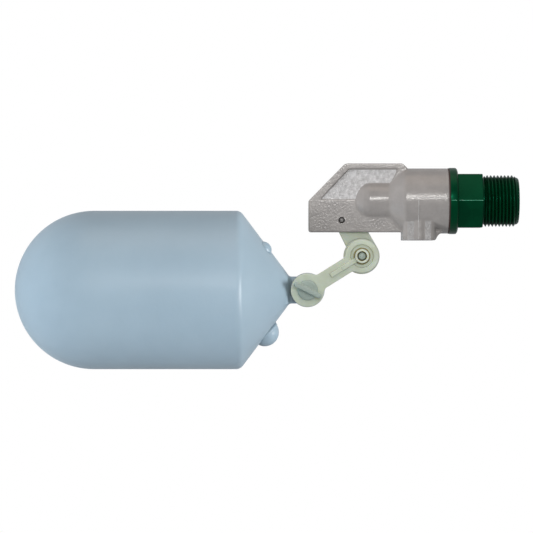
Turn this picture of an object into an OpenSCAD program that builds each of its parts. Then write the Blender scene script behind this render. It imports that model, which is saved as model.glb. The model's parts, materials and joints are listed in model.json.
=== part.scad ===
// Float valve for a stock tank or trough: a threaded inlet, a push-to-close plunger,
// a cam lever, an extension link and a hollow float, joined by two thumb screws.
// Millimetres. The origin is on the inlet's axis, at the thread's hand-tight gauge plane.
// +X points out of the inlet, +Z is up, and both the pin and the thumb screws lie along Y.

/* [Inlet] */
// Crest radius of the inlet's outside thread (3/4 inch pipe)
thread_r = 13.33; // [12:0.01:14]
// Distance from one thread crest to the next (14 to the inch)
thread_pitch = 1.814; // [1.5:0.001:2]
// Number of thread crests
thread_crests = 9; // [6:1:9]
// Distance across the flats of the wrench hexagon
hex_flats = 27.7; // [27:0.1:29]
// Length of the wrench hexagon
hex_l = 12.8; // [8:0.1:14]
// Radius of the inlet's flange
flange_r = 17.2; // [16.9:0.1:18]
// Thickness of the inlet's flange
flange_t = 4.25; // [3:0.05:5]

/* [Casing] */
// Outside radius of the valve chamber
chamber_r = 16.9; // [16:0.1:17.2]
// Radius of the nose that guides the plunger
nose_r = 10.4; // [9.5:0.1:11]
// Thickness across both side plates
plates_w = 13; // [12.6:0.1:14]
// Width of the slot that the lever works in
slot_w = 6.8; // [6.6:0.1:7]
// Width of the outlet spout, along the inlet's axis
spout_w = 16.8; // [16:0.1:18]
// Depth of the outlet spout, from front to back
spout_depth = 26.6; // [20:0.1:28]
// Radius of the outlet's bore
spout_bore_r = 5.6; // [4:0.1:6]

/* [Lever] */
// Thickness of the lever's blade
lever_t = 6; // [5:0.1:6.2]
// Thickness of the lever's round end and of the float's lug
lug_t = 8.4; // [8:0.1:9]
// Radius of the round end
lever_end_r = 9.26; // [8.5:0.01:9.5]
// Radius of the eccentric cam
cam_r = 8.15; // [8:0.01:8.2]
// Distance from the pivot to the cam's centre
cam_offset = 9.3; // [9:0.05:9.4]
// Angle of the lever when the valve is fully open
lever_open = 80; // [78:0.5:80]
// Angle of the lever when the valve is closed
lever_closed = 56; // [54:0.5:60]
// Radius of the pivot pin
pin_r = 1.6; // [1.4:0.05:1.8]

/* [Link and screws] */
// Distance between the link's two holes
link_l = 33.1; // [32:0.1:36]
// Radius of the link's round ends
link_end_r = 8.7; // [8:0.1:9]
// Thickness of the link's plate
link_t = 4; // [3:0.1:5]
// Angle of the link below the horizontal
link_drop = 32; // [20:1:45]
// Radius of the thumb screws' shanks
shank_r = 2.35; // [2:0.05:2.4]
// Radius of the thumb screws' round heads
head_r = 5.3; // [5:0.1:5.6]
// Length of the thumb screws' finger bars
bar_l = 15.7; // [13:0.1:16]

/* [Float] */
// Outside radius of the float
float_r = 41.1; // [38:0.1:43]
// Length from the lug's hole to the end of the dome
float_l = 151.7; // [140:0.1:160]
// Distance from the lug's hole to the shoulder
shoulder_l = 34.8; // [33:0.1:38]
// Wall thickness of the float
float_wall = 2.2; // [1.6:0.1:3]

/* [Hidden] */

round_fn = 96;
eps = 0.01;
run_gap = 0.05;          // radial play of a running fit
seat_gap = 0.02;         // play between pieces that are pressed or screwed together
grey = [0.74, 0.72, 0.70];
green = [0.0, 0.25, 0.12];
cream = [0.84, 0.86, 0.76];
milky = [0.72, 0.79, 0.84];
dark = [0.12, 0.07, 0.05];

// Inlet adapter, along X
inlet_end = 8.6;
thread_depth = 1.33;
crest_flat = 0.3;
end_land = 2.3;
end_chamfer = 0.6;
neck_land = 1.1;
thread_start = inlet_end - end_land - (thread_crests - 0.5) * thread_pitch;
hex_end = thread_start - neck_land;
hex_start = hex_end - hex_l;
flange_start = hex_start - flange_t;
gasket_t = 0.6;
casing_end = flange_start - gasket_t;
plug_r = 13.5;
plug_end = flange_start - 9;
inlet_bore_r = 8.8;
screen_seat = -6;
screen_t = 0.8;
screen_pocket_r = inlet_bore_r + 0.3;
screen_hole_r = 0.8;
screen_hole_step = 2.15;
ring_t = 1.8;
ring_end = screen_seat + screen_t + ring_t;
inner_bore_r = 7.4;
nozzle_r = 7.5;
nozzle_start = plug_end - 2.4;
nozzle_back = flange_start + 1.5;
orifice_r = 3.4;
o_ring_r = 1;
o_ring_x = plug_end + 4.2;

// Casing: the chamber, its nose and the two side plates
chamber_start = -50.5;
nose_cone_start = -58;
nose_start = -69.6;
nose_tip = -76.6;
nose_tip_r = 5;
chamber_wall_end = -49.6;
slot_end = -68.9;
plate_left = -100.1;
plate_top = 19.3;
plate_bottom = -16.2;
plate_right = -49;
plate_slope_top = -81.2;
plate_roof = 2.6;
spout_x = -43.3;
spout_end = -20.4;
spout_corner_r = 2.6;
panel_depth = 1.2;
stem_r = 5.5;

// Lever: its own frame has the pivot at the origin and the blade as it hangs at angle 0
pivot = [-83.04, 0, -10.04];
cam_c = cam_offset * [cos(-1), sin(-1)];
lever_end = [-16.5, -13.5];
lever_heel = [-0.7, 4.4];
lever_tip = [17.5, -1.1];
lever_shoulder = [-13, -4.8];
lever_notch = [4.9, -7.6];
lever_edge = lever_end + lever_end_r * [cos(50.5), -sin(50.5)];
cam_start = cam_c + cam_r * [cos(80), -sin(80)];
head_recess = 0.8;
recess_r = 6.3;

// Plunger: its face is just clear of the cam when the valve is open
stroke_gap = 0.12;
cam_reach = cam_offset * cos(lever_open - 1) + cam_r;
plunger_face = pivot.x + cam_reach + stroke_gap;
stroke = cam_offset * (cos(lever_closed - 1) - cos(lever_open - 1));
plunger_head_t = 3.4;
plunger_head = nozzle_start - seat_gap - stroke - plunger_head_t;
plunger_head_r = 8.6;
disc_r = 6.6;
disc_t = 1.9;
stem_ring_r = 0.7;
stem_ring_x = -59;
rivet_r = 1.6;

// Joints of the arm, in the row's frame
function turned(p, a) = [p.x * cos(a) - p.y * sin(a), p.x * sin(a) + p.y * cos(a)];
lever_eye = [pivot.x, pivot.z] + turned(lever_end, lever_open);
float_eye = lever_eye + link_l * [-cos(link_drop), -sin(link_drop)];

link_face = -lug_t / 2;
link_front = link_face - link_t;
boss_r = 3.65;
boss_h = 3.5;
bar_half = 4.1;
rib_half = 1.3;
head_t = 2;
bar_w = 2.8;
bar_h = 4.4;

// Float, with its lug's hole at x = 0 and its axis along -X
dome_x = float_r - float_l;
neck_x = -9.4;
neck_r = 7;
lug_r = 8.9;
plug_along = -21.6;
cone_slope = (float_r - neck_r) / (shoulder_l + neck_x);
cone_angle = atan(1 / cone_slope);
fill_plug_r = 7.4;
vent_plug_r = 4;
plug_stem_r = 2.5;
fill_angle = 14;
vent_angle = 196;

// A body of revolution about X, from a profile of [radius, x]
module about_x() rotate([0, 90, 0]) rotate_extrude($fn = round_fn) children();

// A cylinder along X between two places
module rod(x0, x1, r, fn = round_fn) translate([x0, 0, 0]) rotate([0, 90, 0])
    rotate(90) cylinder(h = x1 - x0, r = r, $fn = fn);

// A cylinder along Y between two places
module pin_y(y0, y1, r) translate([0, y1, 0]) rotate([90, 0, 0]) cylinder(h = y1 - y0, r = r, $fn = 48);

// An O-ring that just reaches a shaft's radius, and the groove that it sits in
module o_ring(shaft_r, x, r) about_x() translate([shaft_r - r, x]) circle(r, $fn = 32);
module o_ring_groove(shaft_r, x, r) about_x()
    translate([shaft_r - 2 * r - run_gap, x - 1.2 * r]) square([3 * r, 2.4 * r]);

// A flat shape in the XZ plane, between two places along Y
module plate(y0, y1) translate([0, y1, 0]) rotate([90, 0, 0]) linear_extrude(y1 - y0) children();

// The side plates, with their corners cut as the moulding's are rounded
module plate_outline() {
    polygon([[plate_left, plate_bottom], [plate_right, plate_bottom], [plate_right, 0],
        [plate_right - 1.2, plate_top - 2.4], [plate_right - 3.4, plate_top],
        [plate_slope_top + 1, plate_top], [plate_slope_top - 1, plate_top - 0.8],
        [plate_left + 0.5, 1], [plate_left, -0.2]]);
}

// The slot between the plates, which is open at the bottom and at the far end
module slot_outline() {
    slot_top = plate_top - plate_roof;
    polygon([[plate_left - 1, plate_bottom - 1], [slot_end, plate_bottom - 1],
        [slot_end, slot_top], [plate_slope_top + 1.5, slot_top], [plate_left - 1, -3.5]]);
}

// The sunk panel in the upper half of each plate
module panel_outline() {
    panel_top = plate_top - 2.9;
    polygon([[plate_left + 4.7, 0.3], [plate_slope_top + 1.8, panel_top], [-53.5, panel_top],
        [nose_cone_start, 8.9], [nose_cone_start, 0.3]]);
}

// The outlet spout, a block with round corners
module spout() {
    flat_w = spout_w / 2 - spout_corner_r;
    flat_depth = spout_depth / 2 - spout_corner_r;
    translate([spout_x, 0, spout_end]) {
        translate([-spout_w / 2, -flat_depth, 0]) cube([spout_w, 2 * flat_depth, -spout_end]);
        translate([-flat_w, -spout_depth / 2, 0]) cube([2 * flat_w, spout_depth, -spout_end]);
        for (i = [-1, 1]) for (j = [-1, 1]) translate([i * flat_w, j * flat_depth, 0])
            cylinder(h = -spout_end, r = spout_corner_r, $fn = 48);
    }
}

// The sloping web between the spout and the chamber, on the inlet's side
module spout_web() {
    web_half = 9;
    web_x = spout_x + spout_w / 2;
    plate(-web_half, web_half) polygon([[web_x - 1, spout_end + 0.3], [web_x + 0.3, spout_end + 0.3],
        [web_x + 2.6, spout_end + 4.4], [web_x + 2.6, -12], [web_x - 1, -12]]);
}

module casing_body() {
    difference() {
        plate(-plates_w / 2, plates_w / 2) plate_outline();
        for (side = [-1, 1]) translate([0, side * plates_w / 2, 0])
            plate(-panel_depth, panel_depth) panel_outline();
    }
    about_x() polygon([[0, nose_tip], [nose_tip_r, nose_tip], [nose_r, nose_start],
        [nose_r, nose_cone_start], [chamber_r, chamber_start], [chamber_r, casing_end], [0, casing_end]]);
    spout();
    spout_web();
}

module valve_casing() color(grey) difference() {
    casing_body();
    rod(chamber_wall_end, casing_end + 1, plug_r + run_gap);
    rod(plunger_face - 1, chamber_wall_end + 1, stem_r + run_gap);
    plate(-slot_w / 2, slot_w / 2) slot_outline();
    translate([spout_x, 0, spout_end - 1]) cylinder(h = 1 - spout_end, r = spout_bore_r, $fn = round_fn);
    translate(pivot) pin_y(-plates_w, plates_w, pin_r + seat_gap);
}

// Ring ridges, one per pitch: each crest is a short cylinder of the full thread radius
module thread_profile() {
    root = thread_r - thread_depth;
    half_flat = crest_flat / 2;
    half_pitch = thread_pitch / 2;
    ridges = [for (i = [0 : thread_crests - 1]) let (x = thread_start + i * thread_pitch)
        each [[root, x - half_pitch], [thread_r, x - half_flat], [thread_r, x + half_flat]]];
    polygon(concat([[0, hex_end], [root, hex_end]], ridges,
        [[root, inlet_end - end_land], [root, inlet_end - end_chamfer],
        [root - end_chamfer, inlet_end], [0, inlet_end]]));
}

module adapter_body() {
    chamfer = 0.9;
    about_x() thread_profile();
    rod(hex_start - eps, hex_end, hex_flats / 2 / cos(30), 6);
    about_x() polygon([[0, flange_start], [flange_r, flange_start], [flange_r, hex_start - chamfer],
        [flange_r - chamfer, hex_start], [0, hex_start]]);
    rod(plug_end, flange_start + eps, plug_r);
}

module inlet_adapter() color(green) difference() {
    adapter_body();
    rod(ring_end - 1, inlet_end + 1, inlet_bore_r);
    rod(screen_seat, ring_end, screen_pocket_r);
    rod(nozzle_back, screen_seat + 1, inner_bore_r);
    rod(plug_end - 1, nozzle_back + 1, nozzle_r + seat_gap);
    o_ring_groove(plug_r, o_ring_x, o_ring_r);
}

module flange_gasket() color(dark) difference() {
    rod(casing_end, flange_start, chamber_r + 0.1);
    rod(casing_end - 1, flange_start + 1, plug_r + run_gap);
}

module adapter_o_ring() color(dark) o_ring(plug_r, o_ring_x, o_ring_r);

// The orifice that the plunger's disc closes, with a raised lip towards the disc
module nozzle_seat() color("white") difference() {
    about_x() polygon([[0, nozzle_start + 1.6],
        [orifice_r + 0.5, nozzle_start + 0.2], [orifice_r + 0.8, nozzle_start],
        [orifice_r + 1.3, nozzle_start + 0.2], [orifice_r + 2.2, nozzle_start + 2.4 - eps],
        [nozzle_r, nozzle_start + 2.4 - eps], [nozzle_r, nozzle_back], [0, nozzle_back]]);
    rod(nozzle_start - 1, nozzle_back + 1, orifice_r);
    about_x() polygon([[0, nozzle_back - 4], [orifice_r - eps, nozzle_back - 4],
        [orifice_r + 2.6, nozzle_back + eps], [0, nozzle_back + eps]]);
}

// A round strainer plate, with a centre hole and rings of holes
module inlet_screen() color("silver") difference() {
    rod(screen_seat, screen_seat + screen_t, screen_pocket_r - seat_gap);
    for (ring = [0 : 3]) for (i = [0 : max(6 * ring, 1) - 1])
        rotate([i * 60 / max(ring, 1), 0, 0]) translate([0, 0, ring * screen_hole_step])
            rod(screen_seat - 1, screen_seat + 2, screen_hole_r, 24);
}

module screen_ring() color(green) difference() {
    rod(ring_end - ring_t, ring_end, screen_pocket_r - seat_gap);
    rod(screen_seat, ring_end + 1, inner_bore_r);
}

// The pin's ends sit below the plates' faces
module pivot_pin() color("silver") translate(pivot) pin_y(0.7 - plates_w / 2, plates_w / 2 - 0.7, pin_r);

module plunger() color(cream) difference() {
    union() {
        rod(plunger_face + 0.6, plunger_head + eps, stem_r);
        about_x() polygon([[0, plunger_face], [stem_r - 0.6, plunger_face],
            [stem_r, plunger_face + 0.6 + eps], [0, plunger_face + 0.6 + eps]]);
        rod(plunger_head, plunger_head + plunger_head_t, plunger_head_r);
    }
    rod(plunger_head + plunger_head_t - disc_t, plunger_head + plunger_head_t + 1, disc_r + seat_gap);
    o_ring_groove(stem_r, stem_ring_x, stem_ring_r);
}

module plunger_o_ring() color(dark) o_ring(stem_r, stem_ring_x, stem_ring_r);

module seat_disc() color(dark) difference() {
    rod(plunger_head + plunger_head_t - disc_t, plunger_head + plunger_head_t, disc_r);
    rod(plunger_head, plunger_head + 6, rivet_r + seat_gap);
}

// A rivet-like button that holds the rubber disc in the plunger's head
module disc_retainer() color(cream) {
    face = plunger_head + plunger_head_t;
    rod(face - disc_t, face + eps, rivet_r);
    rod(face, face + 0.7, 2.6);
}

module lever_outline() {
    top_slope = (lever_tip.y - lever_heel.y) / (lever_tip.x - lever_heel.x);
    over_cam = [cam_c.x, lever_heel.y + top_slope * (cam_c.x - lever_heel.x) - eps];
    translate(lever_end) circle(lever_end_r, $fn = round_fn);
    polygon([lever_heel, lever_shoulder, lever_end, lever_edge, lever_notch, cam_start, cam_c, over_cam]);
    intersection() {
        translate(cam_c) circle(cam_r, $fn = round_fn);
        polygon([lever_heel, lever_tip, lever_tip + [2, -2], lever_tip + [2, -14], lever_heel + [2, -14]]);
    }
}

module cam_lever() color(cream) translate(pivot) rotate([0, -lever_open, 0]) difference() {
    union() {
        plate(-lever_t / 2, lever_t / 2) lever_outline();
        translate([lever_end.x, 0, lever_end.y]) pin_y(-lug_t / 2, lug_t / 2, lever_end_r);
    }
    pin_y(-lug_t, lug_t, pin_r + run_gap);
    translate([lever_end.x, 0, lever_end.y]) {
        pin_y(-lug_t, lug_t, shank_r + 0.15);
        for (side = [-1, 1]) translate([0, side * lug_t / 2, 0]) pin_y(-head_recess, head_recess, recess_r);
    }
}

// Places a piece at the lever's eye, with +X pointing at the float's eye
module at_lever_eye() translate([lever_eye.x, 0, lever_eye.y]) rotate([0, -link_drop, 0]) mirror([1, 0, 0])
    children();

module link_bar_outline() {
    translate([0, -bar_half]) square([link_l, 2 * bar_half]);
}

module extension_link() color(cream) at_lever_eye() difference() {
    union() {
        plate(link_front, link_face) link_bar_outline();
        pin_y(link_front, link_face, link_end_r);
        translate([link_l, 0, 0]) pin_y(link_front, link_face, link_end_r);
        pin_y(link_front - boss_h, link_face, boss_r);
        plate(link_front - 1, link_face) translate([0, -rib_half]) square([20, 2 * rib_half]);
    }
    pin_y(link_front - boss_h - 1, link_face + 1, shank_r + run_gap);
    translate([link_l, 0, 0]) pin_y(link_front - 1, link_face + 1, shank_r + 0.15);
}

// A thumb screw: its head rests on y = 0 and stands up along -Y, and its shank runs along +Y
module thumb_screw(shank_l) {
    bar_end_r = bar_w / 2;
    pin_y(-head_t, 0, head_r);
    plate(-head_t - bar_h, -head_t + 0.5) {
        square([bar_l - bar_w, bar_w], center = true);
        for (side = [-1, 1]) translate([side * (bar_l - bar_w) / 2, 0]) circle(bar_end_r, $fn = 32);
    }
    pin_y(-eps, shank_l, shank_r);
}

module lever_thumb_screw() color(cream) translate([lever_eye.x, lug_t / 2 - head_recess, lever_eye.y])
    rotate([0, 65, 180]) thumb_screw(lug_t - head_recess + link_t + boss_h - 0.6);

module float_thumb_screw() color(cream) translate([float_eye.x, link_front, float_eye.y])
    rotate([0, 26, 0]) thumb_screw(link_t + lug_t - 0.8);

module at_float_eye() translate([float_eye.x, 0, float_eye.y]) children();

// The float's outline, drawn as [radius, x], with a wall's thickness taken off all round
module float_profile(inset, end_r) {
    r = float_r - inset;
    cone_shift = inset * [sin(cone_angle), cos(cone_angle)];
    function cone_x(at_r) = neck_x - cone_shift[1] - (at_r - neck_r + cone_shift[0]) / cone_slope;
    intersection() {
        translate([0, dome_x]) circle(r, $fn = round_fn);
        translate([0, dome_x - 2 * r]) square([2 * r, 2 * r]);
    }
    polygon([[0, dome_x], [r, dome_x], [r, cone_x(r)], [end_r, cone_x(end_r)], [0, cone_x(end_r)]]);
}

// Places a plug on the float's cone, a given angle round from the bottom
module on_cone(angle) rotate([angle, 0, 0])
    translate([plug_along, 0, -neck_r - (neck_x - plug_along) * cone_slope])
        rotate([0, 180 - cone_angle, 0]) children();

module float_shell() color(milky) at_float_eye() difference() {
    union() {
        about_x() float_profile(0, neck_r);
        plate(-lug_t / 2, lug_t / 2) {
            circle(lug_r, $fn = round_fn);
            translate([neck_x - 4, -neck_r]) square([-neck_x + 4, 2 * neck_r]);
        }
    }
    about_x() float_profile(float_wall, neck_r - 1);
    pin_y(-lug_t, lug_t, shank_r + run_gap);
    on_cone(fill_angle) translate([0, 0, -6]) cylinder(h = 12, r = plug_stem_r, $fn = 32);
}

// A domed plug, cut to sit on the float's curved cone
module domed_plug(angle, r, h) difference() {
    ball_r = (r * r + h * h) / (2 * h);
    below = 1.5;
    on_cone(angle) intersection() {
        translate([0, 0, h - ball_r]) sphere(ball_r, $fn = 44);
        translate([-2 * r, -2 * r, -below]) cube([4 * r, 4 * r, h + 2 * below]);
    }
    about_x() float_profile(-seat_gap, neck_r);
}

module float_fill_plug() color(milky) at_float_eye() {
    domed_plug(fill_angle, fill_plug_r, 6.6);
    on_cone(fill_angle) translate([0, 0, -float_wall])
        cylinder(h = 2 * float_wall, r = plug_stem_r - seat_gap, $fn = 32);
}

module float_vent_plug() color(milky) at_float_eye() domed_plug(vent_angle, vent_plug_r, 2.2);

valve_casing();
inlet_adapter();
flange_gasket();
adapter_o_ring();
nozzle_seat();
inlet_screen();
screen_ring();
pivot_pin();
plunger();
plunger_o_ring();
seat_disc();
disc_retainer();
cam_lever();
extension_link();
lever_thumb_screw();
float_thumb_screw();
float_shell();
float_fill_plug();
float_vent_plug();
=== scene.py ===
"""The looks of a trough's float valve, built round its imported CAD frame.

Shapes are made in millimetres and scaled to metres when a piece is finished.
"""

import json
import math

import bmesh
import bpy
import numpy as np
from mathutils import Matrix, Vector


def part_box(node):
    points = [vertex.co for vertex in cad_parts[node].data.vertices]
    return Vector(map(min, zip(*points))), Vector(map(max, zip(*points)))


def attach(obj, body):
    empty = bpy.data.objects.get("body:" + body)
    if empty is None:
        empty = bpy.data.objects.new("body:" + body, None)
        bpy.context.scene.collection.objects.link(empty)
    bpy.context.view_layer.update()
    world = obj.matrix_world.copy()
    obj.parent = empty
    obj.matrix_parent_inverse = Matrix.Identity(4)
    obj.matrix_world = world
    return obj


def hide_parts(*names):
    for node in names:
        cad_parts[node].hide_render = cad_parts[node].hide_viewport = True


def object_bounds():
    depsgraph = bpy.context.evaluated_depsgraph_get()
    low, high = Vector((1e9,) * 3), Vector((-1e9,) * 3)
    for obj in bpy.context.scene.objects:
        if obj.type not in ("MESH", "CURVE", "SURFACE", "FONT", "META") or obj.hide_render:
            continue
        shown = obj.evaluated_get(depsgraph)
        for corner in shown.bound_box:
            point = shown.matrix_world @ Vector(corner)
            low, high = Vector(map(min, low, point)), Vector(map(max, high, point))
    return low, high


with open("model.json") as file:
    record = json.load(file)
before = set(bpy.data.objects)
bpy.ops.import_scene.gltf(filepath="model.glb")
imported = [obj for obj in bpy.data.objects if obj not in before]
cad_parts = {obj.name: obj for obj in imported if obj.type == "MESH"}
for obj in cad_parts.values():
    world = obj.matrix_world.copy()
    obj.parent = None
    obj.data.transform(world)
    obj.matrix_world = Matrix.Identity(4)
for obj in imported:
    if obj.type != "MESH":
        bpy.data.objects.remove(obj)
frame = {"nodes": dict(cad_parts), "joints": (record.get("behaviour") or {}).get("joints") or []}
CAD_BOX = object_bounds()
MM = 0.001


def joint_place(name):
    """A hinge's place in the frame, in millimetres."""
    for joint in frame["joints"]:
        if joint["name"] == name:
            return Vector(joint["pos_m"]) / MM
    raise KeyError(name)


def node_box(name):
    """A CAD node's lowest and highest corners, in millimetres."""
    low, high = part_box(name)
    return Vector(low) / MM, Vector(high) / MM


PIVOT = joint_place("arm_swing")
LEVER_EYE = joint_place("link_angle")
FLOAT_EYE = joint_place("float_angle")
CASING_LOW, CASING_HIGH = node_box("valve_casing")
ADAPTER_HIGH = node_box("inlet_adapter")[1]
GASKET_LOW, GASKET_HIGH = node_box("flange_gasket")
LUG_HALF = node_box("cam_lever")[1].y
LINK_BACK = node_box("extension_link")[1].y
BOSS_FRONT = node_box("extension_link")[0].y

# ---------------------------------------------------------------- mesh helpers

AXIS_R = 0.004  # a point on a lathe's axis is drawn as a ring this small
MERGE_DISTANCE = 1e-5
STRAIGHT = 0.02  # a corner this near to a straight line, in radians, is not rounded
PAST = 20  # how far a cutter across the whole part reaches


def make_object(name, verts, faces):
    """An object from vertices in millimetres and faces."""
    mesh = bpy.data.meshes.new(name)
    mesh.from_pydata([tuple(v) for v in verts], [], faces)
    mesh.update()
    piece = bpy.data.objects.new(name, mesh)
    bpy.context.scene.collection.objects.link(piece)
    fix_normals(piece)
    return piece


def fix_normals(piece):
    """Merges doubled points and turns every face outwards."""
    bm = bmesh.new()
    bm.from_mesh(piece.data)
    bmesh.ops.remove_doubles(bm, verts=bm.verts, dist=MERGE_DISTANCE)
    bmesh.ops.recalc_face_normals(bm, faces=bm.faces)
    bm.to_mesh(piece.data)
    bm.free()


def loft(name, rings, closed=False):
    """A skin over rings of as many points each. Its ends are capped, or joined up if closed."""
    count = len(rings[0])
    verts = [p for ring in rings for p in ring]
    faces = []
    spans = len(rings) if closed else len(rings) - 1
    for i in range(spans):
        a, b = i * count, ((i + 1) % len(rings)) * count
        for j in range(count):
            k = (j + 1) % count
            faces.append((a + j, a + k, b + k, b + j))
    if not closed:
        faces.append(tuple(range(count)))
        faces.append(tuple(range((len(rings) - 1) * count, len(rings) * count)))
    return make_object(name, verts, faces)


def circle_angles(count):
    return [2 * math.pi * j / count for j in range(count)]


def lathe(name, profile, count=160, closed=False):
    """Turns a profile of (x, radius) about the X axis."""
    rings = []
    for x, radius in profile:
        r = max(radius, AXIS_R)
        rings.append([(x, r * math.cos(a), r * math.sin(a)) for a in circle_angles(count)])
    return loft(name, rings, closed)


def turn(piece, axis, degrees):
    piece.data.transform(Matrix.Rotation(math.radians(degrees), 4, axis))
    return piece


def move(piece, *by):
    piece.data.transform(Matrix.Translation(Vector(by[0] if len(by) == 1 else by)))
    return piece


def rod_x(x0, x1, radius, count=96):
    return lathe("rod", [(x0, radius), (x1, radius)], count)


def rod_y(place, y0, y1, radius, count=96):
    """A cylinder along Y at a place in the XZ plane."""
    piece = turn(rod_x(y0, y1, radius, count), "Z", 90)
    return move(piece, place[0], 0, place[1])


def rod_z(place, z0, z1, radius):
    """A cylinder along Z at a place in the XY plane."""
    piece = turn(rod_x(z0, z1, radius), "Y", -90)
    return move(piece, place[0], place[1], 0)


def prism_y(points, y0, y1):
    """A flat shape in the XZ plane, between two places along Y."""
    return loft("prism", [[(x, y, z) for x, z in points] for y in (y0, y1)])


def box_piece(low, high):
    """A box between two corners."""
    (x0, y0, z0), (x1, y1, z1) = low, high
    return loft("box", [[(x, y0, z0), (x, y1, z0), (x, y1, z1), (x, y0, z1)] for x in (x0, x1)])


def rounded(points, radii, steps=6):
    """A closed outline with each corner rounded to its radius."""
    result = []
    count = len(points)
    for i, (point, radius) in enumerate(zip(points, radii)):
        here = Vector(point)
        before = (Vector(points[i - 1]) - here).normalized()
        after = (Vector(points[(i + 1) % count]) - here).normalized()
        angle = before.angle(after)
        if radius <= 0 or angle > math.pi - STRAIGHT:
            result.append(tuple(here))
            continue
        reach = radius / math.tan(angle / 2)
        centre = here + (before + after).normalized() * radius / math.sin(angle / 2)
        start, end = here + before * reach - centre, here + after * reach - centre
        for step in range(steps + 1):
            spoke = start.slerp(end, step / steps)
            result.append(tuple(centre + spoke.normalized() * radius))
    return result


def apply_modifiers(piece):
    """Replaces the piece's mesh with the result of its modifiers."""
    graph = bpy.context.evaluated_depsgraph_get()
    mesh = bpy.data.meshes.new_from_object(piece.evaluated_get(graph))
    piece.modifiers.clear()
    old = piece.data
    piece.data = mesh
    bpy.data.meshes.remove(old)
    return piece


def discard(piece):
    mesh = piece.data
    bpy.data.objects.remove(piece)
    bpy.data.meshes.remove(mesh)


def combine(piece, others, operation):
    """Adds or cuts other solids exactly, and discards them."""
    for other in others:
        modifier = piece.modifiers.new("combine", "BOOLEAN")
        modifier.operation = operation
        modifier.solver = "EXACT"
        modifier.object = other
        apply_modifiers(piece)
        discard(other)
    return piece


def add(piece, *others):
    return combine(piece, others, "UNION")


def cut(piece, *others):
    return combine(piece, others, "DIFFERENCE")


def mould(piece, voxel, passes):
    """Gives a solid the soft edges and fillets of a moulding."""
    remesh = piece.modifiers.new("remesh", "REMESH")
    remesh.mode = "VOXEL"
    remesh.voxel_size = voxel
    smooth = piece.modifiers.new("smooth", "SMOOTH")
    smooth.factor = 0.5
    smooth.iterations = passes
    return apply_modifiers(piece)


def finish_piece(piece, name, body, slot, material, *nodes):
    """Scales a piece to metres, gives it its name, body and material, and hides the CAD nodes
    that it replaces.
    """
    piece.data.transform(Matrix.Scale(MM, 4))
    piece.name = name
    piece.data.name = name
    piece.data.materials.clear()
    piece.data.materials.append(material)
    for polygon in piece.data.polygons:
        polygon.use_smooth = True
    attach(piece, body)
    if nodes:
        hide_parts(*nodes)
    return piece


def sharpen(piece, degrees):
    """Keeps edges over this angle crisp."""
    piece.data.set_sharp_from_angle(angle=math.radians(degrees))
    return piece


# ---------------------------------------------------------------- materials


def node_material(name):
    """A new material, with its node tree, its shader and a maker of linked nodes."""
    material = bpy.data.materials.new(name)
    material.use_nodes = True
    tree = material.node_tree
    shader = tree.nodes["Principled BSDF"]

    def make(kind, **inputs):
        node = tree.nodes.new(kind)
        for key, value in inputs.items():
            node.inputs[key.replace("_", " ")].default_value = value
        return node

    return material, tree, shader, make


def moulded_plastic(
    name,
    colour,
    shade,
    roughness,
    grain=900.0,
    bump=0.05,
    mottle=60.0,
    glow=0.0,
    glow_mm=3.0,
    glow_tint=(1.0, 1.0, 1.0),
    shine=0.5,
    shine_tint=(1.0, 1.0, 1.0),
):
    """Plastic with a cloudy colour and a fine grain; glow scatters light under its surface."""
    material, tree, shader, make = node_material(name)
    link = tree.links.new
    place = make("ShaderNodeTexCoord").outputs["Object"]

    cloud = make("ShaderNodeTexNoise", Scale=mottle, Detail=4.0, Roughness=0.6)
    link(place, cloud.inputs["Vector"])
    ramp = make("ShaderNodeValToRGB")
    ramp.color_ramp.elements[0].position = 0.32
    ramp.color_ramp.elements[0].color = (*shade, 1)
    ramp.color_ramp.elements[1].position = 0.68
    ramp.color_ramp.elements[1].color = (*colour, 1)
    link(cloud.outputs["Fac"], ramp.inputs["Fac"])
    link(ramp.outputs["Color"], shader.inputs["Base Color"])

    fine = make("ShaderNodeTexNoise", Scale=grain, Detail=3.0, Roughness=0.55)
    link(place, fine.inputs["Vector"])
    gloss = make("ShaderNodeMapRange")
    gloss.inputs["To Min"].default_value = max(roughness - 0.06, 0.02)
    gloss.inputs["To Max"].default_value = roughness + 0.08
    link(cloud.outputs["Fac"], gloss.inputs["Value"])
    link(gloss.outputs["Result"], shader.inputs["Roughness"])

    relief = make("ShaderNodeBump", Strength=bump, Distance=0.0004)
    link(fine.outputs["Fac"], relief.inputs["Height"])
    link(relief.outputs["Normal"], shader.inputs["Normal"])

    shader.inputs["Specular IOR Level"].default_value = shine
    shader.inputs["Specular Tint"].default_value = (*shine_tint, 1)
    if glow:
        shader.inputs["Subsurface Weight"].default_value = glow
        shader.inputs["Subsurface Radius"].default_value = glow_tint
        shader.inputs["Subsurface Scale"].default_value = glow_mm * MM
    return material


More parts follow.
